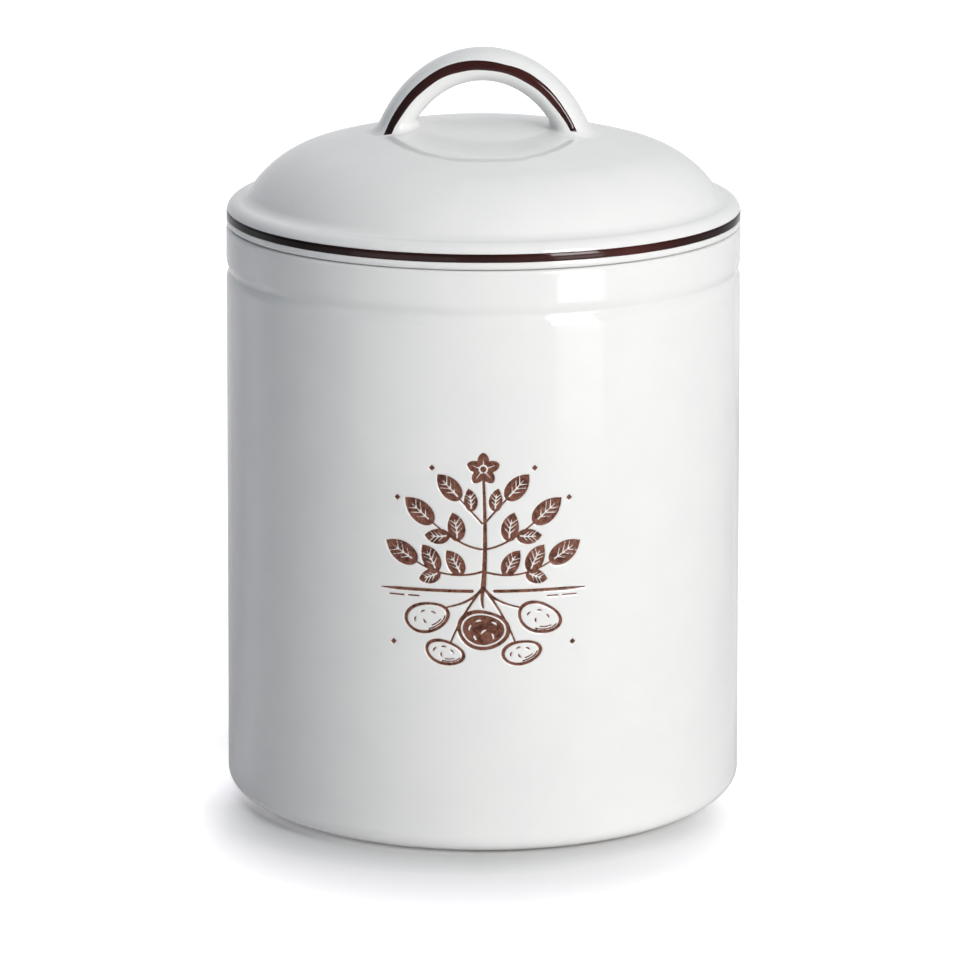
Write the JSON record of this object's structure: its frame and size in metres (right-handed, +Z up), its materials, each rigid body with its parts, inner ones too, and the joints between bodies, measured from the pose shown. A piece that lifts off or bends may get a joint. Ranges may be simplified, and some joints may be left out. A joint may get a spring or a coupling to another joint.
{
  "type": "potato storage jar",
  "caption": "Round glazed ceramic storage jar with a loose domed lid, a strap handle across its crown, a groove under the rim and dark lines on lid edge and handle.",
  "frame": {"origin": "middle of the ring that the jar stands on, on the surface below it", "axes": "+Z up along the jar's axis; -Y towards the decorated front; the handle's arch lies nearly along X, turned 3 degrees with the lid"},
  "size_m": [0.2028, 0.2028, 0.2953],
  "materials": {
    "jar_glaze": "glossy white glaze",
    "lid_glaze": "glossy white glaze",
    "handle_glaze": "glossy white glaze",
    "brown_line": "glossy dark brown painted line"
  },
  "bodies": {
    "jar": {"jar": "jar_glaze"},
    "lid": {"lid": "lid_glaze", "handle": "handle_glaze", "edge_line": "brown_line", "handle_line_front": "brown_line", "handle_line_back": "brown_line"}
  },
  "joints": [
    {"name": "lid_lift", "type": "slide", "parent": "jar", "child": "lid", "axis": [0, 0, 1], "range_m": [0, 0.15]}
  ]
}
